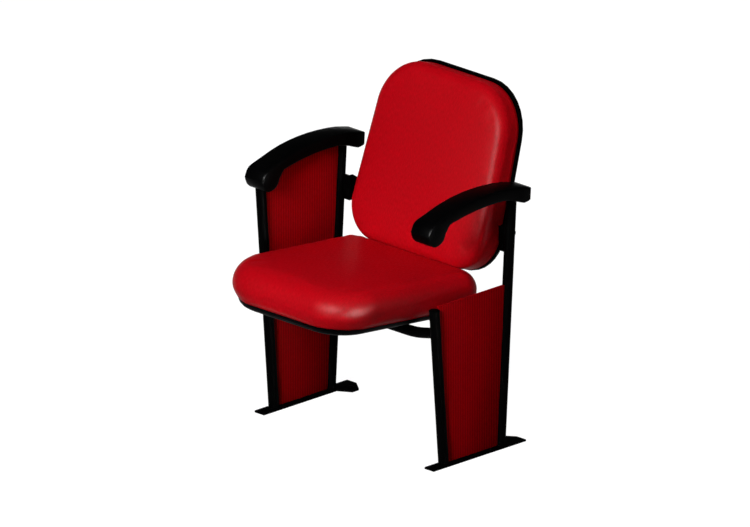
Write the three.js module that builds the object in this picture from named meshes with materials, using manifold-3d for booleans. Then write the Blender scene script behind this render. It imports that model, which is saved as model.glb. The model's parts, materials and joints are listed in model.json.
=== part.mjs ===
// Tip up auditorium seat, one place of a row: two stands of leaning steel tubes with
// fabric covered side panels, curved armrests, a reclined back and a seat that tips up
// between the stands. Millimetres: X across the seat, Y to the rear, Z up from the floor.
import * as THREE from "three";
import { mergeVertices } from "three/addons/utils/BufferGeometryUtils.js";
import Module from "manifold-3d";

const wasm = await Module();
wasm.setup();

// Clearances that the whole part shares
const FIT_GAP = 0.3; // between pieces that touch or sit in each other
const OVERRUN = 6; // how far a cutting solid passes the face that it opens
const WELD = 0.001; // vertices closer than this are one

// Width of the place: what lies across the seat follows it
const SEAT_WIDTH = 428;
const SEAT_TO_STAND = 66; // seat's side to the stand's middle plane

// Stands
const FOOT_LENGTH = 305;
const FOOT_WIDTH = 31;
const FOOT_THICKNESS = 5;
const EAR_WIDTH = 32; // anchor ear, inward of the foot bar
const EAR_ROOT_LENGTH = 65;
const EAR_TIP_LENGTH = 21;
const EAR_TIP_SETBACK = 24; // from the rear end of the foot to the ear's tip
const ANCHOR_DIAMETER = 8;
const ANCHOR_HEAD_DIAMETER = 14;
const ANCHOR_HEAD_HEIGHT = 4;
const ANCHOR_EDGE = 15; // front anchor, from the front end of the foot
const TUBE_DIAMETER = 25;
const TUBE_WALL = 1.5;
const FRONT_POST_FOOT = 48; // post axis on the floor, from the front end of the foot
const FRONT_POST_LEAN = 4.49; // degrees, forward
const REAR_POST_FOOT = 234.5;
const REAR_POST_LEAN = 3.52; // degrees, rearward
const SHORT_POST_TOP = 389; // right front post, under its cap
const CAP_THICKNESS = 3;
const CAP_LIP = 0.8; // cap's edge beyond the tube
const CAP_PLUG_DEPTH = 14;

// Side panels
const PANEL_BOARD = 4;
const PANEL_FABRIC = 0.8;
const PANEL_BOTTOM = 7.5; // height over the floor
const SHORT_PANEL_TOP = 398;
const PANEL_TO_ARMREST = 2.4;
const PANEL_TO_POST = 1.2;
const PANEL_SCREW_DIAMETER = 4;
const PANEL_SCREW_HEAD = 9;
const PANEL_SCREW_HEAD_HEIGHT = 2;
const PANEL_SCREW_EDGE = 13; // from the post

// Armrests
const ARM_WIDTH = 63;
const ARM_RISE = 89; // from the nose's lowest point to the top
const ARM_TOP = 646;
const ARM_NOSE_REACH = 25.7; // ahead of the front post's axis, at the bar's level
const ARM_TAIL_REACH = 41.7; // behind the rear post's axis, at the bar's level
const ARM_INSET = 6; // armrest's middle, inward of the stand's middle plane
const ARM_EDGE = 5; // rounding along both sides
const ARM_SOCKET_DEPTH = 30; // front post in the left nose
const ARM_BAR_WIDTH = 22;
const ARM_BAR_THICKNESS = 6;
const ARM_SCREW_DIAMETER = 6;
const ARM_SCREW_LENGTH = 13;
const ARM_SCREW_HEAD = 11;
const ARM_SCREW_HEAD_HEIGHT = 3; // countersunk in the bar

// Seat hinge
const PIVOT_Y = 118; // from the front end of the foot
const PIVOT_Z = 345;
const SEAT_TILT = 5.4; // degrees, rear edge lower
const TIP_RANGE = 72; // degrees, front edge up
const RAIL_THICKNESS = 5;
const RAIL_BOTTOM = 292;
const RAIL_TOP = 372;
const PIN_DIAMETER = 12;
const PIN_SHOULDER_DIAMETER = 20;
const PIN_END = 4; // journal past the seat arm
const BUSH_WALL = 2.2;
const BUSH_FLANGE_DIAMETER = 26;
const BUSH_FLANGE = 2;
const SEAT_ARM_THICKNESS = 4;
const SEAT_ARM_BOSS = 48; // outer diameter round the pivot
const SEAT_ARM_CLEARANCE = 12; // cushion side to seat arm
const SEAT_ARM_FRONT = 4; // flange's front edge, behind the pivot
const SEAT_ARM_REAR = 104; // flange's rear edge, behind the pivot
const SEAT_ARM_FLANGE = 116; // flange's reach under the pan
const SEAT_SCREW_EDGE = 20; // screws, from the flange's inner end and its front and rear edges
const SEAT_ARM_TAIL = 22; // web's height over the flange at its rear end
const STOP_DIAMETER = 8;
const STOP_RADIUS = 34; // from the pivot axis
const SEAT_SCREW_DIAMETER = 5;
const SEAT_SCREW_HEAD = 10;
const SEAT_SCREW_HEAD_HEIGHT = 3;
const SEAT_SCREW_GRIP = 9; // length in the board

// Return springs
const SPRING_WIRE = 2.4;
const SPRING_DIAMETER = 24.4; // to the middle of the wire
const SPRING_PITCH = 4.2;
const SPRING_TURNS = 4;
const SPRING_BEND = 15; // degrees of the coil taken up by a leg's bend
const SPRING_LEG = 36; // from the pivot axis to the leg's tip

// Cross tube under the seat
const CROSS_TUBE_DIAMETER = 26;
const CROSS_TUBE_Y = 66;
const CROSS_TUBE_Z = 298;
const CROSS_TUBE_CRANK = 99; // length across of each raised end
const CROSS_TUBE_RISE = 22; // up to its ends
const BUFFER_DIAMETER = 28;
const BUFFER_INSET = 99; // from the seat's side to the buffer's middle
const BUFFER_WAIST = 2; // how far its side draws in

// Seat
const SEAT_DEPTH = 477;
const SEAT_REAR = 134; // rear edge, behind the pivot
const SEAT_FRONT_CORNER = 112; // plan radius
const SEAT_REAR_CORNER = 52;
const SEAT_BOTTOM = 28; // pan's flat bottom, below the pivot
const SEAT_THICKNESS = 108; // pan's bottom to the cushion's top edge
const SEAT_CROWN = 10; // over its middle, less towards the rear
const SEAT_FRONT_ROLL = 56; // radius over the front edge
const SEAT_SIDE_ROLL = 31;
const SEAT_REAR_ROLL = 50;
const ROLL_BLEND = 1.5; // how fast a corner's rounding passes into the side's
const SEAT_BULGE = 34; // height over which the cushion's side swells from the pan
const PAN_FRONT_INSET = 12; // pan's rim, inward of the cushion's front
const PAN_SIDE_INSET = 17;
const PAN_FRONT_CORNER = 97;
const PAN_FRONT_ROLL = 25; // radius of the pan's lower edge
const PAN_SIDE_ROLL = 33;
const PAN_WALL = 3;
const SEAT_BOARD = 15;
const SEAT_BOARD_EASE = 9; // bevel round its lower edge
const BOARD_EDGE_GAP = 4; // back board's edge to the shell's wall

// Back
const BACK_FOOT_Y = 277; // lower rear edge of the shell, from the front end of the foot
const BACK_FOOT_Z = 390.5;
const BACK_RECLINE = 17.57; // degrees
const BACK_HEIGHT = 450;
const BACK_TO_SEAT = 18; // back's lower end, beyond the seat's side
const BACK_TAPER = 24; // back's upper end, inward of its lower one, to a side
const BACK_LOWER_CORNER = 96;
const BACK_UPPER_CORNER = 127;
const BACK_THICKNESS = 73.5;
const BACK_CROWN = 10;
const BACK_ROLL = 17; // radius over the cushion's front edge
const BACK_CUSHION_INSET = 7; // inward of the shell's outline
const SHELL_WALL = 3;
const SHELL_ROLL = 7;
const BACK_BOARD = 11;

// Back brackets
const BRACKET_PLATE = 4;
const BRACKET_BOTTOM = 471;
const BRACKET_TOP = 532;
const BRACKET_FLANGE_TOP = 504; // where its slanted rear edge starts
const BRACKET_OFFSET = 18; // from the post inward to the bend
const BRACKET_FOOT = 66; // flange on the back of the shell
const BACK_BOLT_DIAMETER = 6;
const BACK_BOLT_HEAD = 12;
const BACK_BOLT_HEAD_HEIGHT = 4;
const BACK_BOLT_GRIP = 8; // length in the board
const BACK_BOLT_SPACING = 26;
const BACK_BOLT_EDGE = 14; // inner bolt, from the flange's end

// Numbers of faces
const ROUND_STEPS = 24;
const SMALL_STEPS = 10;
const CORNER_STEPS = 8;
const SIDE_STEPS = 5;
const PANEL_TOP_STEPS = 24;
const ROLL_STEPS = 4;
const CRANK_STEPS = 4;
const ARM_TOP_STEPS = 16;
const ARM_UNDER_STEPS = 12;
const ARM_EDGE_STEPS = 2;
const SPRING_STEPS = 8; // to a turn
const SPRING_SIDES = 5;
const SPRING_LEG_POINTS = 5; // before the coil
const SWELL_SHARES = [1 / 3, 2 / 3, 1];
const CROWN_SHARES = [0.92, 0.78, 0.55, 0.28];

// Places worked out from the driving dimensions
const seatSide = SEAT_WIDTH / 2;
const standX = seatSide + SEAT_TO_STAND;
const tubeRadius = TUBE_DIAMETER / 2;
const frontSlope = -Math.tan(THREE.MathUtils.degToRad(FRONT_POST_LEAN));
const rearSlope = Math.tan(THREE.MathUtils.degToRad(REAR_POST_LEAN));
const frontPostAt = (z) => FRONT_POST_FOOT + frontSlope * z;
const rearPostAt = (z) => REAR_POST_FOOT + rearSlope * z;
const panelHalf = PANEL_BOARD / 2 + FIT_GAP + PANEL_FABRIC;
const railOuter = standX - panelHalf - FIT_GAP;
const railInner = railOuter - RAIL_THICKNESS;
const armInner = seatSide + SEAT_ARM_CLEARANCE;
const armOuter = armInner + SEAT_ARM_THICKNESS;
const panDepth = PAN_WALL + FIT_GAP + SEAT_BOARD;
const shellDepth = SHELL_WALL + FIT_GAP + BACK_BOARD;
const armBottom = ARM_TOP - ARM_RISE;

// Solids and shapes

// A closed geometry as a solid that can be cut and joined
function solidOf(geometry) {
  const bare = geometry.index ? geometry.toNonIndexed() : geometry.clone();
  bare.deleteAttribute("normal");
  bare.deleteAttribute("uv");
  const merged = mergeVertices(bare, WELD);
  return new wasm.Manifold(
    new wasm.Mesh({
      numProp: 3,
      vertProperties: new Float32Array(merged.attributes.position.array),
      triVerts: new Uint32Array(merged.index.array),
    }),
  );
}

function geometryOf(solid) {
  const mesh = solid.getMesh();
  const geometry = new THREE.BufferGeometry();
  geometry.setAttribute("position", new THREE.BufferAttribute(mesh.vertProperties, 3));
  geometry.setIndex(new THREE.BufferAttribute(mesh.triVerts, 1));
  return geometry;
}

function cut(geometry, ...tools) {
  let solid = solidOf(geometry);
  for (const tool of tools) solid = solid.subtract(solidOf(tool));
  return geometryOf(solid);
}

function join(...geometries) {
  let solid = solidOf(geometries[0]);
  for (const other of geometries.slice(1)) solid = solid.add(solidOf(other));
  return geometryOf(solid);
}

const shapeOf = (points) => new THREE.Shape(points.map(([a, b]) => new THREE.Vector2(a, b)));

// An outline in the YZ plane, extruded across X
function acrossX(outline, x0, x1) {
  const geometry = new THREE.ExtrudeGeometry(outline, { depth: x1 - x0, bevelEnabled: false });
  const turn = new THREE.Matrix4().makeBasis(
    new THREE.Vector3(0, 1, 0),
    new THREE.Vector3(0, 0, 1),
    new THREE.Vector3(1, 0, 0),
  );
  return geometry.applyMatrix4(turn).translate(x0, 0, 0);
}

// An outline in the XY plane, extruded upwards
function upwards(outline, z0, z1) {
  const geometry = new THREE.ExtrudeGeometry(outline, { depth: z1 - z0, bevelEnabled: false });
  return geometry.translate(0, 0, z0);
}

function box(x0, x1, y0, y1, z0, z1) {
  const geometry = new THREE.BoxGeometry(x1 - x0, y1 - y0, z1 - z0);
  return geometry.translate((x0 + x1) / 2, (y0 + y1) / 2, (z0 + z1) / 2);
}

// A turned piece on the Z axis: pairs of radius and height, from its foot to its top
function turned(profile, steps) {
  const points = profile.map(([r, z]) => new THREE.Vector2(r, z));
  return new THREE.LatheGeometry(points, steps).rotateX(Math.PI / 2);
}

// The same on the X axis, its heights now running outwards on the given side
function turnedAcross(profile, steps, side, y, z) {
  return turned(profile, steps).rotateY((side * Math.PI) / 2).translate(0, y, z);
}

const rodAcross = (radius, inner, outer, side, y, z) =>
  turnedAcross([[0, inner], [radius, inner], [radius, outer], [0, outer]], SMALL_STEPS * 2, side, y, z);

// A screw or bolt on the Z axis, its head below the height of zero and its shank above
function screw(radius, headRadius, headHeight, length) {
  const tip = radius / 2;
  const profile = [
    [0, -headHeight],
    [headRadius - headHeight / 3, -headHeight],
    [headRadius, -headHeight / 2],
    [headRadius, 0],
    [radius, 0],
    [radius, length - tip],
    [tip, length],
    [0, length],
  ];
  return turned(profile, SMALL_STEPS);
}

// A countersunk screw, its head flush with the height of zero
const countersunk = (radius, headRadius, headHeight, length) =>
  turned(
    [
      [0, 0],
      [headRadius, 0],
      [radius, headHeight],
      [radius, length - radius / 2],
      [radius / 2, length],
      [0, length],
    ],
    SMALL_STEPS,
  );

const bore = (radius, z0, z1) =>
  turned([[0, z0], [radius, z0], [radius, z1], [0, z1]], SMALL_STEPS);

// Points round a polygon with rounded corners, each with its outward direction
function roundedOutline(corners) {
  const points = [];
  corners.forEach(({ x, y, r }, i) => {
    const before = corners[(i + corners.length - 1) % corners.length];
    const after = corners[(i + 1) % corners.length];
    const from = new THREE.Vector2(x - before.x, y - before.y).normalize();
    const to = new THREE.Vector2(after.x - x, after.y - y).normalize();
    const startAngle = Math.atan2(-from.x, from.y);
    const turnAngle = Math.atan2(from.x * to.y - from.y * to.x, from.dot(to));
    const reach = r * Math.tan(turnAngle / 2);
    const cx = x - from.x * reach - from.y * r;
    const cy = y - from.y * reach + from.x * r;
    for (let k = 0; k <= CORNER_STEPS; k++) {
      const angle = startAngle + (turnAngle * k) / CORNER_STEPS;
      const nx = Math.cos(angle);
      const ny = Math.sin(angle);
      points.push({ x: cx + r * nx, y: cy + r * ny, nx, ny });
    }
  });
  const full = [];
  points.forEach((p, i) => {
    full.push(p);
    const q = points[(i + 1) % points.length];
    if ((i + 1) % (CORNER_STEPS + 1)) return;
    for (let k = 1; k < SIDE_STEPS; k++) {
      const share = k / SIDE_STEPS;
      full.push({ x: p.x + (q.x - p.x) * share, y: p.y + (q.y - p.y) * share, nx: p.nx, ny: p.ny });
    }
  });
  return full;
}

// A closed skin over rings of points, with a fan over each end
function loft(rings) {
  const count = rings[0].length;
  const middle = (ring) =>
    ring.reduce((sum, p) => sum.add(p), new THREE.Vector3()).divideScalar(count);
  const vertices = [middle(rings[0]), ...rings.flat(), middle(rings.at(-1))];
  const faces = [];
  const at = (ring, k) => 1 + ring * count + (k % count);
  for (let k = 0; k < count; k++) {
    faces.push(0, at(0, k + 1), at(0, k));
    for (let ring = 0; ring + 1 < rings.length; ring++) {
      faces.push(at(ring, k), at(ring, k + 1), at(ring + 1, k + 1));
      faces.push(at(ring, k), at(ring + 1, k + 1), at(ring + 1, k));
    }
    faces.push(vertices.length - 1, at(rings.length - 1, k), at(rings.length - 1, k + 1));
  }
  const geometry = new THREE.BufferGeometry().setFromPoints(vertices);
  geometry.setIndex(faces);
  return geometry;
}

// One ring of a loft: the outline drawn in by an inset, at a height, each by point
const ringOf = (outline, inset, height) =>
  outline.map((p) => {
    const d = typeof inset === "function" ? inset(p) : inset;
    const z = typeof height === "function" ? height(p) : height;
    return new THREE.Vector3(p.x - d * p.nx, p.y - d * p.ny, z);
  });

// Shares of a quarter turn, without its start
const rollShares = Array.from({ length: ROLL_STEPS }, (_, k) => (k + 1) / ROLL_STEPS);
const drawnIn = (share) => 1 - Math.cos((share * Math.PI) / 2);
const raised = (share) => Math.sin((share * Math.PI) / 2);

// A crowned pad: a flat base, sides that swell, a rolled edge and a crowned face
function pad({ outline, base, top, baseInset, swell, roll, crownAt }) {
  const rings = [ringOf(outline, baseInset, base)];
  for (const share of SWELL_SHARES) {
    const inset = baseInset * drawnIn(1 - share);
    rings.push(ringOf(outline, inset, base + swell * share));
  }
  for (const share of [0, ...rollShares]) {
    const inset = (p) => roll(p) * drawnIn(share);
    rings.push(ringOf(outline, inset, (p) => top - roll(p) * (1 - raised(share))));
  }
  const rim = rings.at(-1);
  const centre = new THREE.Box3().setFromPoints(rim).getCenter(new THREE.Vector3());
  for (const share of CROWN_SHARES) {
    const ring = rim.map((p) => p.clone().sub(centre).multiplyScalar(share).add(centre));
    rings.push(ring.map((p) => p.setZ(top + crownAt(p) * (1 - share * share))));
  }
  return loft(rings);
}

// A dished tray: a rolled lower edge, a wall and an open mouth
function tray({ outline, depth, wall, roll }) {
  const insetAt = (p, z) => {
    const left = Math.max(0, roll(p) - z);
    return roll(p) - Math.sqrt(roll(p) ** 2 - left ** 2);
  };
  const shares = [0, ...rollShares.map(drawnIn)];
  const outer = shares.map((share) => ringOf(outline, (p) => insetAt(p, depth * share), depth * share));
  const inner = shares.map((share) => {
    const z = (depth - wall) * share;
    return ringOf(outline, (p) => wall + insetAt(p, z), wall + z);
  });
  return loft([...outer, ...inner.reverse()]);
}

// A round wire or bar along a run of points
function wire(points, radius, sides) {
  const rings = [];
  let up = new THREE.Vector3(0, 0, 1);
  points.forEach((p, i) => {
    const ahead = points[Math.min(i + 1, points.length - 1)];
    const behind = points[Math.max(i - 1, 0)];
    const along = ahead.clone().sub(behind).normalize();
    if (Math.abs(up.dot(along)) > Math.SQRT1_2 && !i) up = new THREE.Vector3(0, 1, 0);
    up = up.clone().addScaledVector(along, -up.dot(along)).normalize();
    const across = new THREE.Vector3().crossVectors(along, up);
    rings.push(
      Array.from({ length: sides }, (_, k) => {
        const angle = (-2 * Math.PI * k) / sides;
        const offset = across.clone().multiplyScalar(Math.cos(angle)).addScaledVector(up, Math.sin(angle));
        return p.clone().addScaledVector(offset, radius);
      }),
    );
  });
  return loft(rings);
}

// Finishes

const material = (color, roughness, metalness) =>
  new THREE.MeshStandardMaterial({ color, roughness, metalness });
const finishes = {
  blackSteel: () => material(0x0c0c0d, 0.42, 0.4),
  blackArm: () => material(0x0a0a0b, 0.5, 0),
  blackPlastic: () => material(0x0b0b0c, 0.55, 0),
  redFabric: () => material(0xb40b1e, 0.62, 0),
  darkRedFabric: () => material(0x6a0310, 0.85, 0),
  plywood: () => material(0xb58a58, 0.75, 0),
  hardboard: () => material(0x5b4634, 0.8, 0),
  zincSteel: () => material(0xa9adb0, 0.35, 0.9),
  springSteel: () => material(0x3b3d40, 0.35, 0.9),
  nylon: () => material(0xd8d6cc, 0.5, 0),
  rubber: () => material(0x101010, 0.9, 0),
};

const part = new THREE.Group();

function add(group, name, geometry, finish) {
  const mesh = new THREE.Mesh(geometry, finish());
  mesh.name = name;
  group.add(mesh);
}

// Feet and their anchors

const earTipEnd = FOOT_LENGTH - EAR_TIP_SETBACK;
const earMiddle = earTipEnd - EAR_TIP_LENGTH / 2;
const anchorPlaces = (side) => ({
  front: [side * standX, ANCHOR_EDGE],
  rear: [side * (standX - FOOT_WIDTH / 2 - EAR_WIDTH / 2), earMiddle],
});
const anchorRadius = ANCHOR_DIAMETER / 2;

function foot(side) {
  const outer = standX + FOOT_WIDTH / 2;
  const inner = standX - FOOT_WIDTH / 2;
  const tip = inner - EAR_WIDTH;
  const outline = shapeOf(
    [
      [outer, 0],
      [outer, FOOT_LENGTH],
      [inner, FOOT_LENGTH],
      [tip, earTipEnd],
      [tip, earTipEnd - EAR_TIP_LENGTH],
      [inner, FOOT_LENGTH - EAR_ROOT_LENGTH],
      [inner, 0],
    ].map(([x, y]) => [side * x, y]),
  );
  const holes = Object.values(anchorPlaces(side)).map(([x, y]) =>
    bore(anchorRadius + FIT_GAP, -OVERRUN, FOOT_THICKNESS + OVERRUN).translate(x, y, 0),
  );
  return cut(upwards(outline, 0, FOOT_THICKNESS), ...holes);
}

// An anchor's head over the foot and its shank in the hole
function anchor() {
  const length = FOOT_THICKNESS + FIT_GAP - WELD;
  const bolt = screw(anchorRadius, ANCHOR_HEAD_DIAMETER / 2, ANCHOR_HEAD_HEIGHT, length);
  return bolt.rotateX(Math.PI).translate(0, 0, FOOT_THICKNESS + FIT_GAP);
}

// Posts: tubes that lean in the stand's plane and are cut level

function leaning(outline, side, footY, slope, z0, z1) {
  const shear = new THREE.Matrix4().set(1, 0, 0, side * standX, 0, 1, slope, footY, 0, 0, 1, 0, 0, 0, 0, 1);
  return upwards(outline, z0, z1).applyMatrix4(shear);
}

function discShape(radius) {
  const outline = new THREE.Shape();
  outline.absarc(0, 0, radius, 0, 2 * Math.PI, false);
  return new THREE.Shape(outline.getPoints(ROUND_STEPS).slice(0, -1));
}

function tubeShape(radius, wall) {
  const outline = discShape(radius);
  outline.holes.push(new THREE.Path(discShape(radius - wall).getPoints()));
  return outline;
}

const postShape = () => tubeShape(tubeRadius, TUBE_WALL);
const postBottom = FOOT_THICKNESS + FIT_GAP;

// The space that a post needs in a piece that it runs into
const postSpace = (side, footY, slope, z0, z1) =>
  leaning(discShape(tubeRadius + FIT_GAP), side, footY, slope, z0, z1);

// The short post's plastic cap, plugged into the tube
function postCap() {
  const base = SHORT_POST_TOP + FIT_GAP;
  const rim = tubeRadius + CAP_LIP;
  const plug = tubeRadius - TUBE_WALL - FIT_GAP;
  const cap = turned(
    [
      [0, -CAP_PLUG_DEPTH],
      [plug, -CAP_PLUG_DEPTH],
      [plug, 0],
      [rim, 0],
      [rim, CAP_THICKNESS / 2],
      [rim - CAP_THICKNESS / 2, CAP_THICKNESS],
      [0, CAP_THICKNESS],
    ],
    ROUND_STEPS,
  );
  const shear = new THREE.Matrix4().set(1, 0, 0, 0, 0, 1, frontSlope, 0, 0, 0, 1, 0, 0, 0, 0, 1);
  return cap.applyMatrix4(shear).translate(standX, frontPostAt(base), base);
}

// Armrests

// Shares of the armrest's length and rise, from the front of the nose
const ARM_TOP_SHARES = [
  [0, 0.34], [0.035, 0.584], [0.126, 0.708], [0.341, 0.921], [0.58, 1], [0.826, 0.944], [1, 0.798],
];
const ARM_UNDER_SHARES = [
  [0.994, 0.461], [0.938, 0.416], [0.853, 0.539], [0.744, 0.652], [0.55, 0.663], [0.356, 0.596], [0.212, 0.494],
];
const ARM_NOSE_SHARES = [
  [0.212, 0.494], [0.176, 0.32], [0.153, 0.14], [0.124, 0.045], [0.07, 0], [0.021, 0.124], [0, 0.34],
];
const ARM_BAR_FRONT_SHARE = 0.26;
const ARM_BAR_REAR_SHARE = 0.9;
const ARM_BAR_LEVEL_SHARE = 0.652;
const ARM_SCREW_SHARES = [0.36, 0.68];

const armZ = (share) => armBottom + share * ARM_RISE;
const barBottom = armZ(ARM_BAR_LEVEL_SHARE);
const armFront = frontPostAt(barBottom) - ARM_NOSE_REACH;
const armLength = rearPostAt(barBottom) + ARM_TAIL_REACH - armFront;
const armY = (share) => armFront + share * armLength;

function armCurve(shares, steps) {
  const spline = new THREE.SplineCurve(shares.map(([a, b]) => new THREE.Vector2(armY(a), armZ(b))));
  return spline.getPoints(steps).map((p) => [p.x, p.y]);
}

const armOutline = [
  ...armCurve(ARM_TOP_SHARES, ARM_TOP_STEPS),
  ...armCurve(ARM_UNDER_SHARES, ARM_UNDER_STEPS).slice(0, -1),
  ...armCurve(ARM_NOSE_SHARES, ARM_UNDER_STEPS).slice(0, -1),
];

// Lowest point of the armrest's outline over a place along the stand
function armUnderAt(y) {
  let lowest = ARM_TOP;
  armOutline.forEach(([ay, az], i) => {
    const [by, bz] = armOutline[(i + 1) % armOutline.length];
    if ((ay - y) * (by - y) > 0 || ay === by) return;
    lowest = Math.min(lowest, az + ((bz - az) * (y - ay)) / (by - ay));
  });
  return lowest;
}

const barFront = armY(ARM_BAR_FRONT_SHARE);
const barRear = armY(ARM_BAR_REAR_SHARE);
const rearPostTop = barBottom - FIT_GAP;
const tallPostTop = armBottom + ARM_SOCKET_DEPTH;
const armScrewRadius = ARM_SCREW_DIAMETER / 2;
const armScrewHead = ARM_SCREW_HEAD / 2;
const armScrewLength = ARM_SCREW_LENGTH + ARM_BAR_THICKNESS;

// A moulded armrest with the groove for its steel bar and the sockets for its posts
function armrest(side) {
  const middle = side * (standX - ARM_INSET);
  const outline = shapeOf(armOutline);
  const blank = new THREE.ExtrudeGeometry(outline, {
    depth: ARM_WIDTH - 2 * ARM_EDGE,
    bevelEnabled: true,
    bevelThickness: ARM_EDGE,
    bevelSize: ARM_EDGE,
    bevelOffset: -ARM_EDGE,
    bevelSegments: ARM_EDGE_STEPS,
  });
  const turn = new THREE.Matrix4().makeBasis(
    new THREE.Vector3(0, 1, 0),
    new THREE.Vector3(0, 0, 1),
    new THREE.Vector3(1, 0, 0),
  );
  blank.applyMatrix4(turn).translate(middle - ARM_WIDTH / 2 + ARM_EDGE, 0, 0);
  const half = ARM_BAR_WIDTH / 2 + FIT_GAP;
  const x = side * standX;
  const ceiling = barBottom + ARM_BAR_THICKNESS + FIT_GAP;
  const below = armBottom - OVERRUN;
  const groove = box(x - half, x + half, barFront - FIT_GAP, barRear + FIT_GAP, below, ceiling);
  const rearSocket = postSpace(side, REAR_POST_FOOT, rearSlope, below, ceiling);
  const tools = [groove, rearSocket];
  if (side < 0) tools.push(postSpace(side, FRONT_POST_FOOT, frontSlope, below, tallPostTop + FIT_GAP));
  for (const share of ARM_SCREW_SHARES) {
    const top = ceiling + ARM_SCREW_LENGTH;
    tools.push(bore(armScrewRadius + FIT_GAP, below, top).translate(x, armY(share), 0));
  }
  return cut(blank, ...tools);
}

function armBar(side) {
  const x = side * standX;
  const half = ARM_BAR_WIDTH / 2;
  const blank = box(x - half, x + half, barFront, barRear, barBottom, barBottom + ARM_BAR_THICKNESS);
  const wide = armScrewHead + FIT_GAP;
  const narrow = armScrewRadius + FIT_GAP;
  const countersink = (share) =>
    turned(
      [
        [0, -OVERRUN],
        [wide, -OVERRUN],
        [wide, 0],
        [narrow, ARM_SCREW_HEAD_HEIGHT],
        [narrow, ARM_RISE],
        [0, ARM_RISE],
      ],
      SMALL_STEPS,
    ).translate(x, armY(share), barBottom);
  return cut(blank, ...ARM_SCREW_SHARES.map(countersink));
}

// Side panels: a board in a fabric sleeve, open at the bottom edge

// Front and rear limits between the posts at a height, with a gap to each tube
const frontLimit = (z, gap) => frontPostAt(z) + tubeRadius + gap;
const rearLimit = (z, gap) => rearPostAt(z) - tubeRadius - gap;

// The height where the tall panel's edge meets its upper edge
function panelCorner(limit, gap, inset) {
  let z = armBottom;
  for (let k = 0; k < CORNER_STEPS; k++) z = armUnderAt(limit(z, gap)) - PANEL_TO_ARMREST - inset;
  return z;
}

function panelOutline(tall, inset) {
  const gap = PANEL_TO_POST + inset;
  const bottom = PANEL_BOTTOM + inset;
  const outline = [
    [frontLimit(bottom, gap), bottom],
    [rearLimit(bottom, gap), bottom],
  ];
  if (!tall) {
    const top = SHORT_PANEL_TOP - inset;
    outline.push([rearLimit(top, gap), top], [frontLimit(top, gap), top]);
    return outline;
  }
  const front = frontLimit(panelCorner(frontLimit, gap, inset), gap);
  const rear = rearLimit(panelCorner(rearLimit, gap, inset), gap);
  for (let k = PANEL_TOP_STEPS; k >= 0; k--) {
    const y = front + ((rear - front) * k) / PANEL_TOP_STEPS;
    outline.push([y, armUnderAt(y) - PANEL_TO_ARMREST - inset]);
  }
  return outline;
}

// Rail between the posts: it carries the pivot, the stop, the cross tube and the panel
const panelScrewRadius = PANEL_SCREW_DIAMETER / 2;
const panelScrewLevel = (RAIL_BOTTOM + RAIL_TOP) / 2;
const panelScrewPlaces = {
  front: [frontLimit(panelScrewLevel, PANEL_SCREW_EDGE), panelScrewLevel],
  rear: [rearLimit(panelScrewLevel, PANEL_SCREW_EDGE), panelScrewLevel],
};

const panelScrewHoles = (side) =>
  Object.values(panelScrewPlaces).map(([y, z]) =>
    rodAcross(panelScrewRadius + FIT_GAP, railInner - OVERRUN, standX + PANEL_BOARD / 2, side, y, z),
  );

function panelBoard(side) {
  const half = PANEL_BOARD / 2;
  const x = side * standX;
  const blank = acrossX(shapeOf(panelOutline(side < 0, PANEL_FABRIC + FIT_GAP)), x - half, x + half);
  return cut(blank, ...panelScrewHoles(side));
}

function panelCover(side) {
  const x = side * standX;
  const outer = acrossX(shapeOf(panelOutline(side < 0, 0)), x - panelHalf, x + panelHalf);
  const half = PANEL_BOARD / 2 + FIT_GAP;
  const hollow = acrossX(shapeOf(panelOutline(side < 0, PANEL_FABRIC)), x - half, x + half);
  const mouth = box(
    x - half,
    x + half,
    frontLimit(PANEL_BOTTOM, PANEL_TO_POST + PANEL_FABRIC),
    rearLimit(PANEL_BOTTOM, PANEL_TO_POST + PANEL_FABRIC),
    PANEL_BOTTOM - OVERRUN,
    PANEL_BOTTOM + PANEL_FABRIC * 2,
  );
  return cut(outer, hollow, mouth, ...panelScrewHoles(side));
}

function panelScrew(side, [y, z]) {
  const length = standX - panelHalf - railInner + PANEL_FABRIC + FIT_GAP + PANEL_BOARD / 2;
  const piece = screw(panelScrewRadius, PANEL_SCREW_HEAD / 2, PANEL_SCREW_HEAD_HEIGHT, length);
  return piece.rotateY((side * Math.PI) / 2).translate(side * (railInner - FIT_GAP), y, z);
}

// Seat hinge, seen from the pivot: angles turn from the rear, upwards

const pinRadius = PIN_DIAMETER / 2;
const stopRadius = STOP_DIAMETER / 2;
const flangeTop = -SEAT_BOTTOM - FIT_GAP;
const flangeBottom = flangeTop - SEAT_ARM_THICKNESS;
const tilt = THREE.MathUtils.degToRad(-SEAT_TILT);
const stopAngle =
  Math.atan2(flangeBottom, SEAT_ARM_FRONT) +
  tilt -
  THREE.MathUtils.degToRad(TIP_RANGE) -
  Math.asin((stopRadius + FIT_GAP) / STOP_RADIUS);
const stopY = PIVOT_Y + STOP_RADIUS * Math.cos(stopAngle);
const stopZ = PIVOT_Z + STOP_RADIUS * Math.sin(stopAngle);

function pivotRail(side) {
  const outline = shapeOf([
    [frontLimit(RAIL_BOTTOM, FIT_GAP), RAIL_BOTTOM],
    [rearLimit(RAIL_BOTTOM, FIT_GAP), RAIL_BOTTOM],
    [rearLimit(RAIL_TOP, FIT_GAP), RAIL_TOP],
    [frontLimit(RAIL_TOP, FIT_GAP), RAIL_TOP],
  ]);
  const [x0, x1] = [side * railInner, side * railOuter].sort((a, b) => a - b);
  const inner = railInner - OVERRUN;
  const outer = railOuter + OVERRUN;
  return cut(
    acrossX(outline, x0, x1),
    rodAcross(pinRadius + FIT_GAP, inner, outer, side, PIVOT_Y, PIVOT_Z),
    rodAcross(stopRadius + FIT_GAP, inner, outer, side, stopY, stopZ),
    ...panelScrewHoles(side),
  );
}

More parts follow.
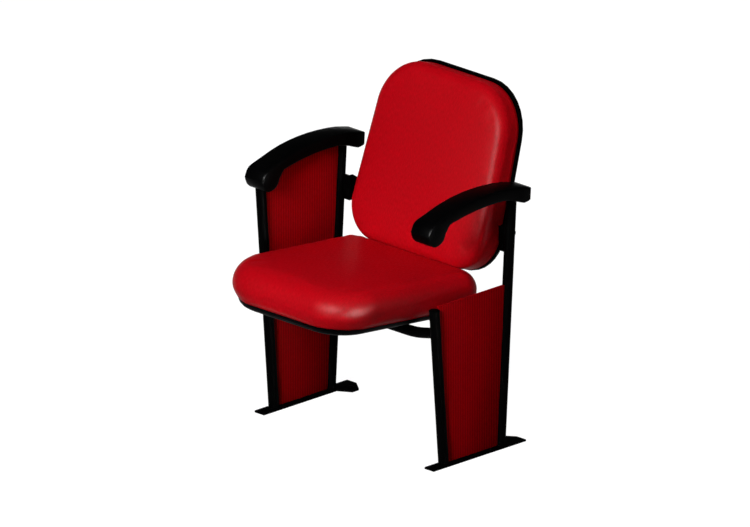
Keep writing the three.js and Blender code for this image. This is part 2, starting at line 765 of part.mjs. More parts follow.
const pinShoulderEnd = armOuter + FIT_GAP + BUSH_FLANGE + FIT_GAP;

function pivotPin(side) {
  const shoulder = PIN_SHOULDER_DIAMETER / 2;
  const profile = [
    [0, armInner - PIN_END],
    [pinRadius - FIT_GAP, armInner - PIN_END],
    [pinRadius, armInner - PIN_END / 2],
    [pinRadius, pinShoulderEnd],
    [shoulder, pinShoulderEnd],
    [shoulder, railInner - FIT_GAP],
    [pinRadius, railInner - FIT_GAP],
    [pinRadius, railOuter],
    [0, railOuter],
  ];
  return turnedAcross(profile, SMALL_STEPS * 2, side, PIVOT_Y, PIVOT_Z);
}

const stopPin = (side) => {
  const inner = armInner - PIN_END / 2;
  return rodAcross(stopRadius, inner, railOuter, side, stopY, stopZ);
};

// Torsion spring: one leg bears on the stop, the other hooks over the seat arm
const legStep = SPRING_WIRE / 2 + FIT_GAP;
const webTopFront = [SEAT_ARM_BOSS / 4, Math.sqrt(3) * (SEAT_ARM_BOSS / 4)];
const webTopRear = [SEAT_ARM_REAR, flangeTop + SEAT_ARM_TAIL];

function springPoints(side) {
  const radius = SPRING_DIAMETER / 2;
  const slope = (webTopRear[1] - webTopFront[1]) / (webTopRear[0] - webTopFront[0]);
  const hookY = SPRING_LEG * Math.cos(Math.atan(-slope));
  const hookZ = webTopFront[1] + slope * (hookY - webTopFront[0]) + legStep * 2;
  const hookAngle = Math.atan2(hookZ, hookY) + tilt;
  const hookReach = Math.hypot(hookY, hookZ);
  const restAngle = stopAngle - Math.asin((stopRadius + legStep) / STOP_RADIUS);
  const place = (x, reach, angle) =>
    new THREE.Vector3(side * x, PIVOT_Y + reach * Math.cos(angle), PIVOT_Z + reach * Math.sin(angle));
  const start = pinShoulderEnd + SPRING_WIRE;
  const turns = SPRING_TURNS + ((restAngle - hookAngle) / (2 * Math.PI) + 1);
  const end = start + SPRING_PITCH * turns;
  const points = [
    place(armInner, hookReach, hookAngle),
    place(armOuter, hookReach, hookAngle),
    place(start - SPRING_WIRE / 2, hookReach - SPRING_WIRE / 4, hookAngle),
    place(start, hookReach - SPRING_WIRE, hookAngle),
    place(start, radius + SPRING_WIRE, hookAngle),
  ];
  const steps = Math.round(SPRING_STEPS * turns);
  const bend = THREE.MathUtils.degToRad(SPRING_BEND);
  for (let k = 0; k <= steps; k++) {
    const share = k / steps;
    const angle = hookAngle + bend + (2 * Math.PI * turns - 2 * bend) * share;
    points.push(place(start + (end - start) * share, radius, angle));
  }
  points.push(place(end, radius + SPRING_WIRE, restAngle), place(end, SPRING_LEG + SPRING_WIRE, restAngle));
  return points;
}

// Least gap of a wire to itself, on points along its run
function leastGap(points, wireDiameter, apart) {
  let least = Infinity;
  points.forEach((p, i) => {
    for (let k = i + apart; k < points.length; k++) least = Math.min(least, p.distanceTo(points[k]));
  });
  return least - wireDiameter;
}

const returnSpring = (side) => wire(springPoints(side), SPRING_WIRE / 2, SPRING_SIDES);

// Cross tube between the rails: a level middle run, cranked up to both ends
function crossTube() {
  const end = railInner - FIT_GAP;
  const level = end - CROSS_TUBE_CRANK;
  const slope = CROSS_TUBE_RISE / (end - level);
  const bend = CROSS_TUBE_DIAMETER;
  const start = new THREE.Vector2(level - bend, CROSS_TUBE_Z);
  const corner = new THREE.Vector2(level, CROSS_TUBE_Z);
  const finish = new THREE.Vector2(level + bend, CROSS_TUBE_Z + slope * bend);
  const crank = new THREE.QuadraticBezierCurve(start, corner, finish).getPoints(CRANK_STEPS);
  const half = [...crank, new THREE.Vector2(end, CROSS_TUBE_Z + CROSS_TUBE_RISE)];
  const run = [...half.map((p) => new THREE.Vector2(-p.x, p.y)).reverse(), ...half];
  const circleAt = (x, z, radius) =>
    Array.from({ length: ROUND_STEPS }, (_, k) => {
      const angle = (2 * Math.PI * k) / ROUND_STEPS;
      const y = CROSS_TUBE_Y + radius * Math.cos(angle);
      return new THREE.Vector3(x, y, z + radius * Math.sin(angle));
    });
  const outer = CROSS_TUBE_DIAMETER / 2;
  const inner = outer - TUBE_WALL;
  const bar = loft(run.map((p) => circleAt(p.x, p.y, outer)));
  const hollow = run.map((p, i) => {
    const past = i === 0 ? -OVERRUN : i === run.length - 1 ? OVERRUN : 0;
    return circleAt(p.x + past, p.y, inner);
  });
  return cut(bar, loft(hollow));
}

// Seat, drawn about the pivot: the group turns it by the seat's tilt

const seat = new THREE.Group();
seat.position.set(0, PIVOT_Y, PIVOT_Z);
seat.rotation.x = tilt;

const frontness = (p) => Math.max(0, -p.ny) ** ROLL_BLEND;
const rearness = (p) => Math.max(0, p.ny) ** ROLL_BLEND;

function seatOutline(sideInset, frontInset, frontCorner) {
  const x = seatSide - sideInset;
  const front = SEAT_REAR - SEAT_DEPTH + frontInset;
  const rear = SEAT_REAR - frontInset;
  const rearCorner = SEAT_REAR_CORNER - frontInset / 2;
  return roundedOutline([
    { x: x, y: front, r: frontCorner },
    { x: x, y: rear, r: rearCorner },
    { x: -x, y: rear, r: rearCorner },
    { x: -x, y: front, r: frontCorner },
  ]);
}

const seatScrewRadius = SEAT_SCREW_DIAMETER / 2;
const screwX = armInner - SEAT_ARM_FLANGE + SEAT_SCREW_EDGE;
const seatScrewPlaces = {
  front: SEAT_ARM_FRONT + SEAT_SCREW_EDGE,
  rear: SEAT_ARM_REAR - SEAT_SCREW_EDGE,
};
const seatScrewTop = -SEAT_BOTTOM + PAN_WALL + FIT_GAP + SEAT_SCREW_GRIP;

function seatScrewHoles() {
  const radius = seatScrewRadius + FIT_GAP;
  return [-screwX, screwX].flatMap((x) =>
    Object.values(seatScrewPlaces).map((y) =>
      bore(radius, flangeBottom - OVERRUN, seatScrewTop + FIT_GAP).translate(x, y, 0),
    ),
  );
}

const panOutline = () => seatOutline(PAN_SIDE_INSET, PAN_FRONT_INSET, PAN_FRONT_CORNER);
const panRoll = (p) => PAN_SIDE_ROLL + (PAN_FRONT_ROLL - PAN_SIDE_ROLL) * frontness(p);

function seatPan() {
  const dish = tray({ outline: panOutline(), depth: panDepth, wall: PAN_WALL, roll: panRoll });
  return cut(dish.translate(0, 0, -SEAT_BOTTOM), ...seatScrewHoles());
}

function seatBoard() {
  const outline = panOutline();
  const lower = (p) => PAN_WALL + panRoll(p);
  const upper = (p) => lower(p) - SEAT_BOARD_EASE;
  const base = -SEAT_BOTTOM + PAN_WALL + FIT_GAP;
  const slab = loft([
    ringOf(outline, lower, base),
    ringOf(outline, upper, base + SEAT_BOARD_EASE),
    ringOf(outline, upper, base + SEAT_BOARD),
  ]);
  return cut(slab, ...seatScrewHoles());
}

function seatCushion() {
  return pad({
    outline: seatOutline(0, 0, SEAT_FRONT_CORNER),
    base: -SEAT_BOTTOM + panDepth + FIT_GAP,
    top: -SEAT_BOTTOM + SEAT_THICKNESS,
    baseInset: PAN_FRONT_INSET,
    swell: SEAT_BULGE,
    roll: (p) =>
      SEAT_SIDE_ROLL +
      (SEAT_FRONT_ROLL - SEAT_SIDE_ROLL) * frontness(p) +
      (SEAT_REAR_ROLL - SEAT_SIDE_ROLL) * rearness(p),
    crownAt: (p) => (SEAT_CROWN * (SEAT_REAR - p.y)) / SEAT_DEPTH,
  });
}

// Steel arm: a web with the pivot boss and a flange screwed up into the board
function seatArm(side) {
  const boss = SEAT_ARM_BOSS / 2;
  const web = new THREE.Shape();
  const frontAngle = Math.atan2(flangeBottom, SEAT_ARM_FRONT);
  const topAngle = Math.atan2(webTopFront[1], webTopFront[0]);
  web.moveTo(SEAT_ARM_FRONT, flangeBottom);
  web.lineTo(SEAT_ARM_REAR, flangeBottom);
  web.lineTo(webTopRear[0], webTopRear[1]);
  web.lineTo(webTopFront[0], webTopFront[1]);
  web.absarc(0, 0, boss, topAngle, frontAngle + 2 * Math.PI, false);
  const [x0, x1] = [side * armInner, side * armOuter].sort((a, b) => a - b);
  const plate = acrossX(new THREE.Shape(web.getPoints(SMALL_STEPS)), x0, x1);
  const [f0, f1] = [side * (armInner - SEAT_ARM_FLANGE), side * armOuter].sort((a, b) => a - b);
  const flange = box(f0, f1, SEAT_ARM_FRONT, SEAT_ARM_REAR, flangeBottom, flangeTop);
  const seatRadius = pinRadius + FIT_GAP + BUSH_WALL + FIT_GAP;
  const hole = rodAcross(seatRadius, armInner - OVERRUN, armOuter + OVERRUN, side, 0, 0);
  return cut(join(plate, flange), hole, ...seatScrewHoles());
}

// Flanged nylon bush in the seat arm
function pivotBush(side) {
  const inner = pinRadius + FIT_GAP;
  const outer = inner + BUSH_WALL;
  const flange = BUSH_FLANGE_DIAMETER / 2;
  const profile = [
    [inner, armInner],
    [outer, armInner],
    [outer, armOuter + FIT_GAP],
    [flange, armOuter + FIT_GAP],
    [flange, armOuter + FIT_GAP + BUSH_FLANGE],
    [inner, armOuter + FIT_GAP + BUSH_FLANGE],
    [inner, armInner],
  ];
  return turnedAcross(profile, SMALL_STEPS * 2, side, 0, 0);
}

function seatScrew() {
  const length = seatScrewTop - flangeBottom;
  const piece = screw(seatScrewRadius, SEAT_SCREW_HEAD / 2, SEAT_SCREW_HEAD_HEIGHT, length);
  return piece.translate(0, 0, flangeBottom - FIT_GAP);
}

// Rubber buffers under the pan, resting on the cross tube
const crossTubeTop = CROSS_TUBE_Z + CROSS_TUBE_DIAMETER / 2;
const bufferPlace = new THREE.Vector3(0, CROSS_TUBE_Y - PIVOT_Y, crossTubeTop - PIVOT_Z);
bufferPlace.applyAxisAngle(new THREE.Vector3(1, 0, 0), -tilt);

function seatBuffer() {
  const foot = bufferPlace.z + FIT_GAP * 2;
  const head = -SEAT_BOTTOM - FIT_GAP;
  const radius = BUFFER_DIAMETER / 2;
  const middle = (foot + head) / 2;
  const profile = [[0, foot], [radius, foot], [radius - BUFFER_WAIST, middle], [radius, head], [0, head]];
  return turned(profile, SMALL_STEPS * 2).translate(0, bufferPlace.y, 0);
}

// Back, drawn from the shell's lower rear edge: Z along its height, Y into its rear

const back = new THREE.Group();
back.position.set(0, BACK_FOOT_Y, BACK_FOOT_Z);
back.rotation.x = THREE.MathUtils.degToRad(-BACK_RECLINE);

const backLower = seatSide + BACK_TO_SEAT;
const backUpper = backLower - BACK_TAPER;
const backOutline = () =>
  roundedOutline([
    { x: backLower, y: 0, r: BACK_LOWER_CORNER },
    { x: backUpper, y: BACK_HEIGHT, r: BACK_UPPER_CORNER },
    { x: -backUpper, y: BACK_HEIGHT, r: BACK_UPPER_CORNER },
    { x: -backLower, y: 0, r: BACK_LOWER_CORNER },
  ]);

// Stands a piece that was drawn lying face up on its rear side
const stand = (geometry) => geometry.rotateX(Math.PI / 2);

const boltRadius = BACK_BOLT_DIAMETER / 2;
const bracketX = standX - tubeRadius - BRACKET_OFFSET;
const innerBoltX = bracketX - BRACKET_FOOT + BACK_BOLT_EDGE;
const boltHeight = ((BRACKET_BOTTOM + BRACKET_FLANGE_TOP) / 2 - BACK_FOOT_Z) / Math.cos(back.rotation.x);
const boltPlaces = { inner: innerBoltX, outer: innerBoltX + BACK_BOLT_SPACING };
const boltTop = SHELL_WALL + FIT_GAP + BACK_BOLT_GRIP;

function boltHoles() {
  const radius = boltRadius + FIT_GAP;
  return [-1, 1].flatMap((side) =>
    Object.values(boltPlaces).map((x) =>
      bore(radius, -BRACKET_PLATE - OVERRUN, boltTop + FIT_GAP).translate(side * x, boltHeight, 0),
    ),
  );
}

function backShell() {
  const dish = tray({ outline: backOutline(), depth: shellDepth, wall: SHELL_WALL, roll: () => SHELL_ROLL });
  return stand(cut(dish, ...boltHoles()));
}

function backBoard() {
  const outline = backOutline();
  const inset = SHELL_WALL + SHELL_ROLL + BOARD_EDGE_GAP;
  const base = SHELL_WALL + FIT_GAP;
  const slab = loft([ringOf(outline, inset, base), ringOf(outline, inset, base + BACK_BOARD)]);
  return stand(cut(slab, ...boltHoles()));
}

function backCushion() {
  const outline = backOutline().map((p) => ({
    ...p,
    x: p.x - BACK_CUSHION_INSET * p.nx,
    y: p.y - BACK_CUSHION_INSET * p.ny,
  }));
  return stand(
    pad({
      outline,
      base: shellDepth + FIT_GAP,
      top: BACK_THICKNESS,
      baseInset: BACK_CUSHION_INSET / 2,
      swell: BACK_ROLL,
      roll: () => BACK_ROLL,
      crownAt: () => BACK_CROWN,
    }),
  );
}

function backBolt(x) {
  const length = boltTop + BRACKET_PLATE + FIT_GAP;
  const piece = screw(boltRadius, BACK_BOLT_HEAD / 2, BACK_BOLT_HEAD_HEIGHT, length);
  return stand(piece.translate(x, boltHeight, -BRACKET_PLATE - FIT_GAP * 2));
}

// Bracket: welded to the post, bent to the rear and bolted to the shell's back
function backBracket(side) {
  const rearAt = (z, offset) => {
    const run = (z - BACK_FOOT_Z) * Math.tan(-back.rotation.x);
    return BACK_FOOT_Y + run + offset / Math.cos(back.rotation.x);
  };
  const middleZ = (BRACKET_BOTTOM + BRACKET_TOP) / 2;
  const noseY = rearPostAt(middleZ) - BRACKET_PLATE / 2;
  const span = (a, b) => [side * a, side * b].sort((p, q) => p - q);
  const [t0, t1] = span(bracketX - BRACKET_PLATE, standX);
  const tab = box(t0, t1, noseY, noseY + BRACKET_PLATE, BRACKET_BOTTOM, BRACKET_TOP);
  const outer = FIT_GAP + BRACKET_PLATE;
  const [w0, w1] = span(bracketX - BRACKET_PLATE, bracketX);
  const web = acrossX(
    shapeOf([
      [noseY, BRACKET_BOTTOM],
      [rearAt(BRACKET_BOTTOM, outer), BRACKET_BOTTOM],
      [rearAt(BRACKET_FLANGE_TOP, outer), BRACKET_FLANGE_TOP],
      [noseY + tubeRadius, BRACKET_TOP],
      [noseY, BRACKET_TOP],
    ]),
    w0,
    w1,
  );
  const [f0, f1] = span(bracketX - BRACKET_FOOT, bracketX);
  const low = (BRACKET_BOTTOM - BACK_FOOT_Z) / Math.cos(back.rotation.x);
  const high = (BRACKET_FLANGE_TOP - BACK_FOOT_Z) / Math.cos(back.rotation.x);
  const lift = outer * Math.tan(back.rotation.x);
  const flange = box(f0, f1, FIT_GAP, outer, low - lift / 2, high + lift / 2);
  const toWorld = new THREE.Matrix4().makeRotationX(back.rotation.x).setPosition(back.position);
  flange.applyMatrix4(toWorld);
  const holes = Object.values(boltPlaces).map((x) =>
    bore(boltRadius + FIT_GAP, -BRACKET_PLATE - OVERRUN, OVERRUN)
      .translate(side * x, boltHeight, 0)
      .rotateX(Math.PI / 2)
      .applyMatrix4(toWorld),
  );
  const post = postSpace(side, REAR_POST_FOOT, rearSlope, BRACKET_BOTTOM - OVERRUN, BRACKET_TOP + OVERRUN);
  return cut(join(tab, web, flange), post, ...holes);
}

// Assembly

const sideNames = { left: -1, right: 1 };
for (const [name, side] of Object.entries(sideNames)) {
  const tall = side < 0;
  add(part, `${name}_foot`, foot(side), finishes.blackSteel);
  for (const [end, [x, y]] of Object.entries(anchorPlaces(side)))
    add(part, `${name}_${end}_anchor_bolt`, anchor().translate(x, y, 0), finishes.blackSteel);
  const postTop = tall ? tallPostTop : SHORT_POST_TOP;
  const frontPost = leaning(postShape(), side, FRONT_POST_FOOT, frontSlope, postBottom, postTop);
  const rearPost = leaning(postShape(), side, REAR_POST_FOOT, rearSlope, postBottom, rearPostTop);
  add(part, `${name}_front_post`, frontPost, finishes.blackSteel);
  add(part, `${name}_rear_post`, rearPost, finishes.blackSteel);
  if (!tall) add(part, `${name}_front_post_cap`, postCap(), finishes.blackPlastic);
  add(part, `${name}_panel_board`, panelBoard(side), finishes.hardboard);
  add(part, `${name}_panel_cover`, panelCover(side), finishes.darkRedFabric);
  for (const [end, place] of Object.entries(panelScrewPlaces))
    add(part, `${name}_${end}_panel_screw`, panelScrew(side, place), finishes.zincSteel);
  add(part, `${name}_armrest`, armrest(side), finishes.blackArm);
  add(part, `${name}_armrest_bar`, armBar(side), finishes.blackSteel);
  ARM_SCREW_SHARES.forEach((share, i) => {
    const piece = countersunk(armScrewRadius, armScrewHead, ARM_SCREW_HEAD_HEIGHT, armScrewLength);
    piece.translate(side * standX, armY(share), barBottom);
    add(part, `${name}_${i ? "rear" : "front"}_armrest_screw`, piece, finishes.zincSteel);
  });
  add(part, `${name}_pivot_rail`, pivotRail(side), finishes.blackSteel);
  add(part, `${name}_pivot_pin`, pivotPin(side), finishes.zincSteel);
  add(part, `${name}_tip_stop`, stopPin(side), finishes.zincSteel);
  add(part, `${name}_return_spring`, returnSpring(side), finishes.springSteel);
  add(part, `${name}_back_bracket`, backBracket(side), finishes.blackSteel);
  add(seat, `${name}_seat_arm`, seatArm(side), finishes.blackSteel);
  add(seat, `${name}_pivot_bush`, pivotBush(side), finishes.nylon);
  for (const [end, y] of Object.entries(seatScrewPlaces))
    add(seat, `${name}_${end}_seat_screw`, seatScrew().translate(side * screwX, y, 0), finishes.zincSteel);
  const buffer = seatBuffer().translate(side * (seatSide - BUFFER_INSET), 0, 0);
  add(seat, `${name}_seat_buffer`, buffer, finishes.rubber);
  for (const [end, x] of Object.entries(boltPlaces))
    add(back, `${name}_${end}_back_bolt`, backBolt(side * x), finishes.zincSteel);
}
add(part, "cross_tube", crossTube(), finishes.blackSteel);
add(seat, "seat_pan", seatPan(), finishes.blackPlastic);
add(seat, "seat_board", seatBoard(), finishes.plywood);
add(seat, "seat_cushion", seatCushion(), finishes.redFabric);
add(back, "back_shell", backShell(), finishes.blackPlastic);
add(back, "back_board", backBoard(), finishes.plywood);
add(back, "back_cushion", backCushion(), finishes.redFabric);
part.add(seat, back);

const coil = springPoints(1).slice(SPRING_LEG_POINTS);
const gap = leastGap(coil, SPRING_WIRE, SPRING_STEPS / 2 + 1);
console.log(`least gap of a return spring to itself: ${gap.toFixed(2)} mm`);

// The part stands on the floor with its box centred on the origin
part.updateMatrixWorld(true);
const middle = new THREE.Box3().setFromObject(part, true).getCenter(new THREE.Vector3());
part.position.y = -middle.y;
console.log(`front end of the feet at Y ${(-middle.y).toFixed(3)} mm`);

export default part;
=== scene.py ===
import json
import math

import bmesh
import bpy
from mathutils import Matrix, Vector

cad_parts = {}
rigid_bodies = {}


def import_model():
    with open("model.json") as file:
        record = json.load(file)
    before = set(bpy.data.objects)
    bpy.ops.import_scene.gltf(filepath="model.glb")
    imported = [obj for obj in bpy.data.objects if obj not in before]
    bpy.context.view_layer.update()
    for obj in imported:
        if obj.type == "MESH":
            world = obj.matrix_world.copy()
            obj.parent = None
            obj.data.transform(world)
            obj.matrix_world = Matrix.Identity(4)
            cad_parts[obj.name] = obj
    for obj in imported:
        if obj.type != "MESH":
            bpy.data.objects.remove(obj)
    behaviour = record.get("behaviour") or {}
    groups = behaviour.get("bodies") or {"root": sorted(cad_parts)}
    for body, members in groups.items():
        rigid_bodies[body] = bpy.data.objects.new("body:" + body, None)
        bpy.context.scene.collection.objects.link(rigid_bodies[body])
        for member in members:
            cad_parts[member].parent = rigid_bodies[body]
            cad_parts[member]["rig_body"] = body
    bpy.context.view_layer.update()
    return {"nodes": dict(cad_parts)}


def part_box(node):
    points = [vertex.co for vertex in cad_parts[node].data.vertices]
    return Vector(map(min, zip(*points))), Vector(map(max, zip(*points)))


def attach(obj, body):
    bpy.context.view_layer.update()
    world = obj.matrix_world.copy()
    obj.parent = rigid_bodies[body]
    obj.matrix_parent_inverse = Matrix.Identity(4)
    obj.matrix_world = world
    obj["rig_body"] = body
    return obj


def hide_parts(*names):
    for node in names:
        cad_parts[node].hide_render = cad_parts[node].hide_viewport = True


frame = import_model()

# The camera
# The photograph is a parallel projection from the front right, a third of the way up. It looks at
# a point just in front of the seat's middle, and the picture's width is 1.75 m there.
foot_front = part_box("left_foot")[0].y
view_rise = 1 / 3
view_run = math.sqrt(1 - view_rise ** 2) / math.sqrt(2)
towards_viewer = Vector((view_run, -view_run, view_rise))
aim = Vector((0.0508, foot_front + 0.0508, 0.4422))
picture_width = 1.7496
camera_distance = 5
camera_reach = 60

camera_data = bpy.data.cameras.new("camera")
camera_data.type = "ORTHO"
camera_data.ortho_scale = picture_width
camera_data.clip_end = camera_reach
camera = bpy.data.objects.new("camera", camera_data)
camera.location = aim + towards_viewer * camera_distance
camera.rotation_euler = (-towards_viewer).to_track_quat("-Z", "Y").to_euler()
bpy.context.scene.collection.objects.link(camera)
bpy.context.scene.camera = camera

# The floor and the light
# The wide floor is white where it is seen or mirrored, and a dark grey that throws little light up
# at the object. A broad lamp in front lights it, weak ones above, beside, low down and behind lift
# its shadows, and two small ones only show as highlights. The world fills the rest faintly.
floor_reach = 30
floor_grey = 0.12
floor_glow = 0.97
sky_strength = 0.06
seat_middle = (0, 0, 0.45)

floor_mesh = bpy.data.meshes.new("floor")
bm = bmesh.new()
bmesh.ops.create_circle(bm, cap_ends=True, segments=96, radius=floor_reach)
bm.to_mesh(floor_mesh)
bm.free()
floor = bpy.data.objects.new("floor", floor_mesh)
bpy.context.scene.collection.objects.link(floor)

floor_paint = bpy.data.materials.new("floor_paint")
floor_paint.use_nodes = True
nodes, links = floor_paint.node_tree.nodes, floor_paint.node_tree.links
nodes.clear()
paint = nodes.new("ShaderNodeBsdfDiffuse")
paint.inputs["Color"].default_value = (floor_grey, floor_grey, floor_grey, 1)
glow = nodes.new("ShaderNodeEmission")
glow.inputs["Color"].default_value = (1, 1, 1, 1)
glow.inputs["Strength"].default_value = floor_glow
white_paint = nodes.new("ShaderNodeAddShader")
rays = nodes.new("ShaderNodeLightPath")
seen = nodes.new("ShaderNodeMath")
seen.operation = "MAXIMUM"
seen_through = nodes.new("ShaderNodeMath")
seen_through.operation = "MAXIMUM"
choice = nodes.new("ShaderNodeMixShader")
surface = nodes.new("ShaderNodeOutputMaterial")
links.new(paint.outputs[0], white_paint.inputs[0])
links.new(glow.outputs[0], white_paint.inputs[1])
links.new(rays.outputs["Is Camera Ray"], seen.inputs[0])
links.new(rays.outputs["Is Glossy Ray"], seen.inputs[1])
links.new(seen.outputs[0], seen_through.inputs[0])
links.new(rays.outputs["Is Transmission Ray"], seen_through.inputs[1])
links.new(seen_through.outputs[0], choice.inputs[0])
links.new(paint.outputs[0], choice.inputs[1])
links.new(white_paint.outputs[0], choice.inputs[2])
links.new(choice.outputs[0], surface.inputs["Surface"])
floor_mesh.materials.append(floor_paint)

world = bpy.data.worlds.new("studio")
world.use_nodes = True
sky = world.node_tree.nodes["Background"]
sky.inputs["Color"].default_value = (1, 1, 1, 1)
sky.inputs["Strength"].default_value = sky_strength
bpy.context.scene.world = world
bpy.context.scene.view_settings.view_transform = "Standard"


def lamp(name, place, target, size, power, diffuse=True, glossy=True, spread=180):
    """A square lamp, in metres and watts. Its spread is the angle in degrees that it shines into."""
    data = bpy.data.lights.new(name, "AREA")
    data.shape = "SQUARE"
    data.size = size
    data.energy = power
    data.spread = math.radians(spread)
    obj = bpy.data.objects.new(name, data)
    obj.visible_diffuse = diffuse
    obj.visible_glossy = glossy
    obj.location = place
    obj.rotation_euler = (Vector(target) - Vector(place)).to_track_quat("-Z", "Y").to_euler()
    bpy.context.scene.collection.objects.link(obj)


lamp("front_lamp", (1.76, -6.16, 3.64), seat_middle, size=2.4, power=420)
lamp("top_lamp", (0.3, -0.4, 3.4), seat_middle, size=2.4, power=21)
lamp("right_lamp", (2.4, -0.8, 3.5), seat_middle, size=1.5, power=16)
lamp("under_seat_lamp", (2.6, -6.3, 0.9), (0, 0, 0.06), size=0.8, power=0.4, spread=5)
lamp("rear_lamp", (-2.2, 4.2, 2.2), seat_middle, size=2, power=70, glossy=False)
lamp("key_glint_lamp", (0.88, -3.08, 2.04), seat_middle, size=0.4, power=1450, diffuse=False)
lamp(
    "side_glint_lamp", (3.3, -0.85, 0.65), (0.18, -0.28, 0.42),
    size=0.35, power=20, diffuse=False, spread=14,
)

# Black powder coated steel
# The posts, feet, rails, brackets, bars, seat arms and cross tube are mild steel, powder coated
# satin black, and the anchor bolts' heads match. The coat has a faint orange peel.


def group_of(name, inputs, outputs):
    """A new shader node group with its sockets, and its two end nodes."""
    tree = bpy.data.node_groups.new(name, "ShaderNodeTree")
    for label, kind, value in inputs:
        socket = tree.interface.new_socket(label, in_out="INPUT", socket_type=kind)
        if value is not None:
            socket.default_value = value
    for label, kind in outputs:
        tree.interface.new_socket(label, in_out="OUTPUT", socket_type=kind)
    return tree, tree.nodes.new("NodeGroupInput"), tree.nodes.new("NodeGroupOutput")


# Fine grain and broad patches of a coated or moulded surface, both about 0 to 1
grain_tree, grain_in, grain_out = group_of(
    "surface_grain",
    [
        ("Vector", "NodeSocketVector", None),
        ("Grain", "NodeSocketFloat", 900.0),
        ("Patches", "NodeSocketFloat", 9.0),
    ],
    [("Grain", "NodeSocketFloat"), ("Patches", "NodeSocketFloat")],
)
for socket, detail in (("Grain", 2.0), ("Patches", 4.0)):
    noise = grain_tree.nodes.new("ShaderNodeTexNoise")
    noise.inputs["Detail"].default_value = detail
    grain_tree.links.new(grain_in.outputs["Vector"], noise.inputs["Vector"])
    grain_tree.links.new(grain_in.outputs[socket], noise.inputs["Scale"])
    grain_tree.links.new(noise.outputs[0], grain_out.inputs[socket])

patch_low, patch_high = 0.3, 0.7
grain_strength = 0.6


def coated(name, dark, light, dull, shiny, grain, patches, relief, metallic=0.0, specular=0.5):
    """A coated, moulded or plated finish. Its colour runs from dark to light and its roughness from
    shiny to dull in patches, over a fine grain that stands up by the relief, in metres."""
    material = bpy.data.materials.new(name)
    material.use_nodes = True
    tree = material.node_tree
    shader = tree.nodes["Principled BSDF"]
    shader.inputs["Metallic"].default_value = metallic
    shader.inputs["Specular IOR Level"].default_value = specular
    place = tree.nodes.new("ShaderNodeTexCoord")
    texture = tree.nodes.new("ShaderNodeGroup")
    texture.node_tree = grain_tree
    texture.inputs["Grain"].default_value = grain
    texture.inputs["Patches"].default_value = patches
    tint = tree.nodes.new("ShaderNodeValToRGB")
    tint.color_ramp.elements[0].color = (*dark, 1)
    tint.color_ramp.elements[1].color = (*light, 1)
    gloss = tree.nodes.new("ShaderNodeMapRange")
    gloss.inputs["From Min"].default_value = patch_low
    gloss.inputs["From Max"].default_value = patch_high
    gloss.inputs["To Min"].default_value = shiny
    gloss.inputs["To Max"].default_value = dull
    bump = tree.nodes.new("ShaderNodeBump")
    bump.inputs["Distance"].default_value = relief
    bump.inputs["Strength"].default_value = grain_strength
    tree.links.new(place.outputs["Object"], texture.inputs["Vector"])
    tree.links.new(texture.outputs["Patches"], tint.inputs[0])
    tree.links.new(texture.outputs["Patches"], gloss.inputs["Value"])
    tree.links.new(texture.outputs["Grain"], bump.inputs["Height"])
    tree.links.new(tint.outputs[0], shader.inputs["Base Color"])
    tree.links.new(gloss.outputs[0], shader.inputs["Roughness"])
    tree.links.new(bump.outputs[0], shader.inputs["Normal"])
    return material


powder_coat = coated(
    "black_powder_coat", dark=(0.0005, 0.0005, 0.0006), light=(0.001, 0.001, 0.0011),
    dull=0.42, shiny=0.3, grain=520, patches=7, relief=0.0001, specular=0.003,
)

weld_distance = 1e-5
flat_limit = math.radians(0.5)
smooth_limit = math.radians(35)
ease_steps = 2


def finished(node, material, ease=0.0):
    """A CAD node's own form with its triangles joined, its round faces smooth and its edges eased."""
    mesh = frame["nodes"][node].data.copy()
    mesh.name = f"{node}_form"
    bm = bmesh.new()
    bm.from_mesh(mesh)
    bmesh.ops.remove_doubles(bm, verts=bm.verts, dist=weld_distance)
    bmesh.ops.dissolve_limit(bm, angle_limit=flat_limit, verts=bm.verts, edges=bm.edges)
    if ease:
        sharp = [e for e in bm.edges if e.is_manifold and e.calc_face_angle(0) > smooth_limit]
        bmesh.ops.bevel(
            bm, geom=sharp, offset=ease, offset_type="OFFSET", affect="EDGES",
            segments=ease_steps, profile=0.5, material=-1, clamp_overlap=True,
        )
    bmesh.ops.triangulate(bm, faces=[f for f in bm.faces if len(f.verts) > 4])
    bm.to_mesh(mesh)
    bm.free()
    mesh.shade_smooth()
    mesh.set_sharp_from_angle(angle=smooth_limit)
    for layer in [a.name for a in mesh.attributes if a.name == "custom_normal"]:
        mesh.attributes.remove(mesh.attributes[layer])
    mesh.materials.clear()
    mesh.materials.append(material)
    piece = bpy.data.objects.new(f"{node}_finished", mesh)
    bpy.context.scene.collection.objects.link(piece)
    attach(piece, frame["nodes"][node]["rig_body"])
    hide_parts(node)
    return piece


for side in ("left", "right"):
    finished(f"{side}_foot", powder_coat, ease=0.0008)
    finished(f"{side}_front_post", powder_coat)
    finished(f"{side}_rear_post", powder_coat)
    finished(f"{side}_pivot_rail", powder_coat, ease=0.0006)
    finished(f"{side}_back_bracket", powder_coat)
    finished(f"{side}_armrest_bar", powder_coat)
    finished(f"{side}_seat_arm", powder_coat)
    for end in ("front", "rear"):
        finished(f"{side}_{end}_anchor_bolt", powder_coat)
finished("cross_tube", powder_coat)

# Moulded shells and the post's cap
# The seat pan, the back shell and the cap on the short post are injection moulded in black
# plastic with a fine spark grain.
moulded = coated(
    "black_moulded_plastic", dark=(0.0005, 0.0005, 0.0006), light=(0.001, 0.001, 0.0011),
    dull=0.5, shiny=0.38, grain=1100, patches=12, relief=0.00012, specular=0.003,
)
for node in ("seat_pan", "back_shell", "right_front_post_cap"):
    finished(node, moulded)

